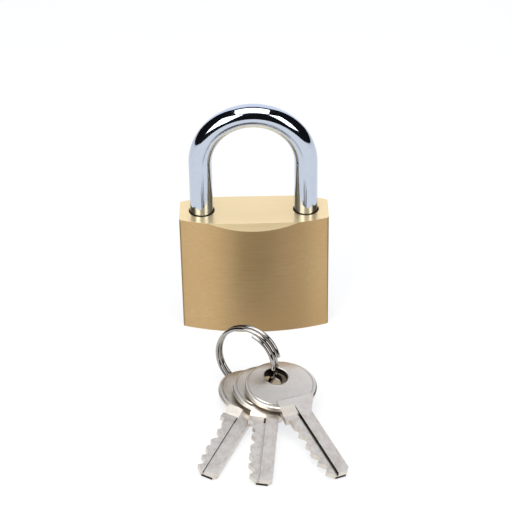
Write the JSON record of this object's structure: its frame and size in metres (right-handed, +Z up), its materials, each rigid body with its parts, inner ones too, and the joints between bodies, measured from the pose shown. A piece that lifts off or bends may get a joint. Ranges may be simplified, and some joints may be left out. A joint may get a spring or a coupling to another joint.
{
  "type": "padlock",
  "caption": "Brass pin tumbler padlock with a sprung chrome shackle, bored body, plug, latch and pin stacks, and its keys on a split ring.",
  "frame": {"origin": "centre of the lock body's base", "axes": "+Z up towards the shackle, +X to the right of the front, -Y out of the front"},
  "size_m": [0.0421, 0.0822, 0.066],
  "materials": {
    "brass_body": "horizontally brushed satin brass",
    "plug_brass": "turned brass",
    "pin_brass": "turned brass",
    "shackle_chrome": "chrome plated hardened steel",
    "pin_steel": "ground steel",
    "spring_steel": "drawn spring wire",
    "key_nickel": "satin nickel plate",
    "ring_nickel": "bright nickel plated wire"
  },
  "bodies": {
    "lock_body": {"lock_body": "brass_body", "shackle_spring": "spring_steel", "shackle_retaining_pin": "pin_steel", "plug_retaining_pin": "pin_steel", "latch_spring": "spring_steel", "latch_bore_plug": "brass_body", "chamber_plug_1": "brass_body", "chamber_plug_2": "brass_body", "chamber_plug_3": "brass_body", "chamber_plug_4": "brass_body", "chamber_plug_5": "brass_body", "tumbler_spring_1": "spring_steel", "tumbler_spring_2": "spring_steel", "tumbler_spring_3": "spring_steel", "tumbler_spring_4": "spring_steel", "tumbler_spring_5": "spring_steel"},
    "shackle": {"shackle": "shackle_chrome"},
    "plug": {"plug": "plug_brass", "tail_cam": "pin_steel", "drive_pin": "pin_steel"},
    "latch": {"latch": "pin_steel"},
    "key_ring": {"key_ring": "ring_nickel"},
    "key_left": {"key_left": "key_nickel"},
    "key_middle": {"key_middle": "key_nickel"},
    "key_right": {"key_right": "key_nickel"},
    "key_pin_1": {"key_pin_1": "pin_brass"},
    "driver_pin_1": {"driver_pin_1": "pin_brass"},
    "key_pin_2": {"key_pin_2": "pin_brass"},
    "driver_pin_2": {"driver_pin_2": "pin_brass"},
    "key_pin_3": {"key_pin_3": "pin_brass"},
    "driver_pin_3": {"driver_pin_3": "pin_brass"},
    "key_pin_4": {"key_pin_4": "pin_brass"},
    "driver_pin_4": {"driver_pin_4": "pin_brass"},
    "key_pin_5": {"key_pin_5": "pin_brass"},
    "driver_pin_5": {"driver_pin_5": "pin_brass"}
  },
  "joints": [
    {"name": "shackle_lift", "type": "slide", "parent": "lock_body", "child": "shackle", "axis": [0, 0, 1], "range_m": [0, 0.0132], "deforming": ["shackle_spring"]},
    {"name": "plug_turn", "type": "hinge", "parent": "lock_body", "child": "plug", "pos_m": [0, 0, 0.0106], "axis": [0, 0, 1], "range_deg": [0, 90]},
    {"name": "latch_slide", "type": "slide", "parent": "lock_body", "child": "latch", "axis": [1, 0, 0], "range_m": [0, 0.0024], "deforming": ["latch_spring"]},
    {"name": "key_pin_1_slide", "type": "slide", "parent": "plug", "child": "key_pin_1", "axis": [0, 1, 0], "range_m": [0, 0.0012]},
    {"name": "key_pin_2_slide", "type": "slide", "parent": "plug", "child": "key_pin_2", "axis": [0, 1, 0], "range_m": [0, 0.0006]},
    {"name": "key_pin_3_slide", "type": "slide", "parent": "plug", "child": "key_pin_3", "axis": [0, 1, 0], "range_m": [0, 0.0013]},
    {"name": "key_pin_4_slide", "type": "slide", "parent": "plug", "child": "key_pin_4", "axis": [0, 1, 0], "range_m": [0, 0.0009]},
    {"name": "key_pin_5_slide", "type": "slide", "parent": "plug", "child": "key_pin_5", "axis": [0, 1, 0], "range_m": [0, 0.0003]},
    {"name": "driver_pin_1_slide", "type": "slide", "parent": "lock_body", "child": "driver_pin_1", "axis": [1, 0, 0], "range_m": [0, 0.0015], "stiffness_N_per_m": 60, "springref_m": -0.002, "deforming": ["tumbler_spring_1"]},
    {"name": "driver_pin_2_slide", "type": "slide", "parent": "lock_body", "child": "driver_pin_2", "axis": [1, 0, 0], "range_m": [0, 0.0015], "stiffness_N_per_m": 60, "springref_m": -0.002, "deforming": ["tumbler_spring_2"]},
    {"name": "driver_pin_3_slide", "type": "slide", "parent": "lock_body", "child": "driver_pin_3", "axis": [1, 0, 0], "range_m": [0, 0.0015], "stiffness_N_per_m": 60, "springref_m": -0.002, "deforming": ["tumbler_spring_3"]},
    {"name": "driver_pin_4_slide", "type": "slide", "parent": "lock_body", "child": "driver_pin_4", "axis": [1, 0, 0], "range_m": [0, 0.0015], "stiffness_N_per_m": 60, "springref_m": -0.002, "deforming": ["tumbler_spring_4"]},
    {"name": "driver_pin_5_slide", "type": "slide", "parent": "lock_body", "child": "driver_pin_5", "axis": [1, 0, 0], "range_m": [0, 0.0015], "stiffness_N_per_m": 60, "springref_m": -0.002, "deforming": ["tumbler_spring_5"]},
    {"name": "key_ring_carry", "type": "slide", "parent": "lock_body", "child": "key_ring", "axis": [0, -1, 0], "range_m": [0, 0.08]},
    {"name": "key_left_swing", "type": "hinge", "parent": "key_ring", "child": "key_left", "pos_m": [0.00045, -0.0373, 0.00275], "axis": [0.1503, -0.0954, 0.984], "range_deg": [-18, 0]},
    {"name": "key_middle_swing", "type": "hinge", "parent": "key_ring", "child": "key_middle", "pos_m": [0.0035, -0.0383, 0.00525], "axis": [0.1083, -0.1143, 0.9875], "range_deg": [-3, 3]},
    {"name": "key_right_swing", "type": "hinge", "parent": "key_ring", "child": "key_right", "pos_m": [0.0049, -0.0397, 0.0074], "axis": [0.1202, -0.1243, 0.9849], "range_deg": [0, 35]}
  ],
  "couplings": [
    {"joint": "plug_turn", "follows": "latch_slide", "rad_per_m": 653.37}
  ]
}
